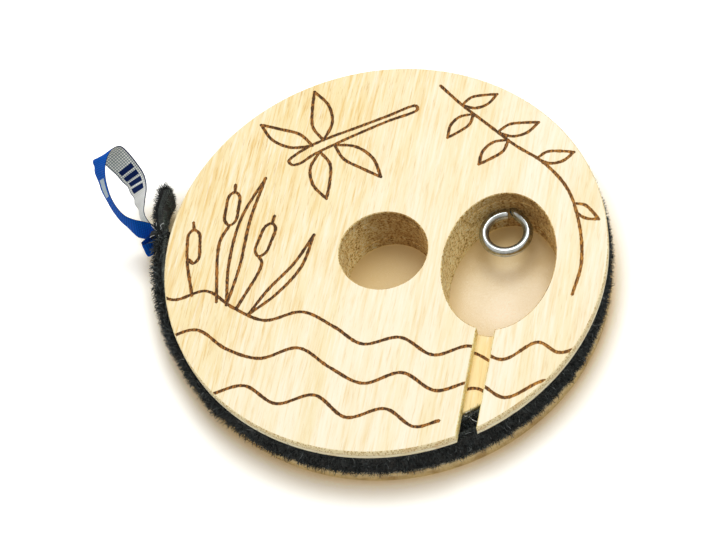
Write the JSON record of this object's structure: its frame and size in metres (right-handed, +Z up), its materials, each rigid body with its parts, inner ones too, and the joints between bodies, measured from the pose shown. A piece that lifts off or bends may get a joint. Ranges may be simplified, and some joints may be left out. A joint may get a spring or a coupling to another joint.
{
  "type": "fishing line winder",
  "caption": "Flat round bamboo winder for fishing line: wide cheeks on a core, finger hole, oval window with a screw eye, line slot, and a hook-and-loop strap with a ribbon pull tab.",
  "frame": {"origin": "centre of the finger hole at the underside of the lower cheek", "axes": "+Z up through the panels, along the finger hole; +Y along the grain, towards the screw eye's shank; +X from the finger hole to the oval window"},
  "size_m": [0.123, 0.1008, 0.022],
  "materials": {
    "bamboo_face": "sanded bare bamboo",
    "bamboo_core": "sanded bare bamboo, browned on the cut walls",
    "steel_wire": "polished",
    "hook_tape": "woven nylon with hooks",
    "loop_tape": "brushed nylon pile",
    "black_thread": "sewing thread",
    "blue_ribbon": "woven satin ribbon"
  },
  "bodies": {
    "winder": {"lower_cheek": "bamboo_face", "core": "bamboo_core", "upper_cheek": "bamboo_face", "screw_eye": "steel_wire", "hook_tape_wound": "hook_tape", "loop_tape_wound": "loop_tape"},
    "strap_link_1": {"hook_tape_link_1": "hook_tape", "loop_tape_link_1": "loop_tape"},
    "strap_link_2": {"hook_tape_link_2": "hook_tape", "loop_tape_link_2": "loop_tape"},
    "strap_link_3": {"hook_tape_link_3": "hook_tape", "loop_tape_link_3": "loop_tape"},
    "strap_link_4": {"hook_tape_link_4": "hook_tape", "loop_tape_link_4": "loop_tape"},
    "strap_link_5": {"hook_tape_link_5": "hook_tape", "loop_tape_link_5": "loop_tape", "seam_thread": "black_thread", "hook_tape_fold": "hook_tape", "loop_tape_fold": "loop_tape", "ribbon_root": "blue_ribbon"},
    "pull_tab": {"ribbon_loop": "blue_ribbon"}
  },
  "joints": [
    {"name": "strap_peel", "type": "hinge", "parent": "winder", "child": "strap_link_1", "pos_m": [0.02515, -0.04356, 0.007], "axis": [0, 0, 1], "range_deg": [0, 28]},
    {"name": "strap_bend_2", "type": "hinge", "parent": "strap_link_1", "child": "strap_link_2", "pos_m": [0.00389, -0.05026, 0.007], "axis": [0, 0, 1], "range_deg": [0, 28]},
    {"name": "strap_bend_3", "type": "hinge", "parent": "strap_link_2", "child": "strap_link_3", "pos_m": [-0.01821, -0.04736, 0.007], "axis": [0, 0, 1], "range_deg": [0, 28]},
    {"name": "strap_bend_4", "type": "hinge", "parent": "strap_link_3", "child": "strap_link_4", "pos_m": [-0.03702, -0.03538, 0.007], "axis": [0, 0, 1], "range_deg": [0, 28]},
    {"name": "strap_bend_5", "type": "hinge", "parent": "strap_link_4", "child": "strap_link_5", "pos_m": [-0.04904, -0.01837, 0.007], "axis": [0, 0, 1], "range_deg": [0, 28]},
    {"name": "tab_swing", "type": "hinge", "parent": "strap_link_5", "child": "pull_tab", "pos_m": [-0.05724, 0.00202, 0.007], "axis": [0, 0, 1], "range_deg": [-15, 80]}
  ],
  "couplings": [
    {"joint": "strap_bend_2", "follows": "strap_peel", "ratio": 1},
    {"joint": "strap_bend_3", "follows": "strap_peel", "ratio": 1},
    {"joint": "strap_bend_4", "follows": "strap_peel", "ratio": 1},
    {"joint": "strap_bend_5", "follows": "strap_peel", "ratio": 1}
  ]
}
